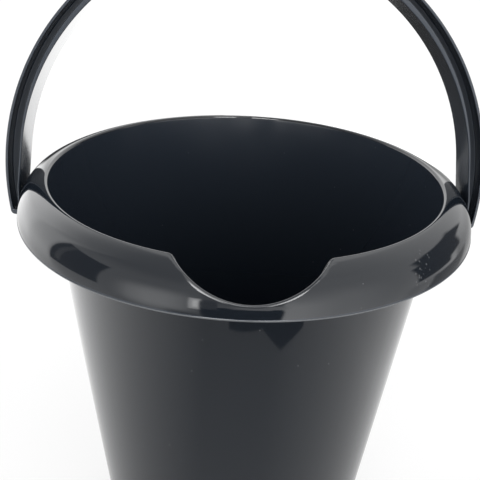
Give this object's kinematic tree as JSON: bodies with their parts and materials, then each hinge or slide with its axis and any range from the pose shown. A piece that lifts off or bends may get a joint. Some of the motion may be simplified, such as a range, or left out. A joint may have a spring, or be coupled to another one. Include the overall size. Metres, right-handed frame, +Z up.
{
  "type": "bucket",
  "caption": "Tapered plastic bucket with a wide rolled rim, a round pouring lip in its front and a swinging bail handle that snaps into ears under the rim.",
  "frame": {"origin": "middle of the base, on the surface that the bucket stands on", "axes": "+Z up, -Y towards the pouring lip, X along the bail's pivot axis"},
  "size_m": [0.3272, 0.3088, 0.4373],
  "materials": {
    "body_plastic": "glossy moulded, nearly black",
    "bail_plastic": "glossy moulded, nearly black"
  },
  "bodies": {
    "bucket": {"bucket_body": "body_plastic"},
    "bail": {"bail_handle": "bail_plastic"}
  },
  "joints": [
    {"name": "bail_swing", "type": "hinge", "parent": "bucket", "child": "bail", "pos_m": [0, 0, 0.2525], "axis": [1, 0, 0], "range_deg": [-121, 143]}
  ]
}
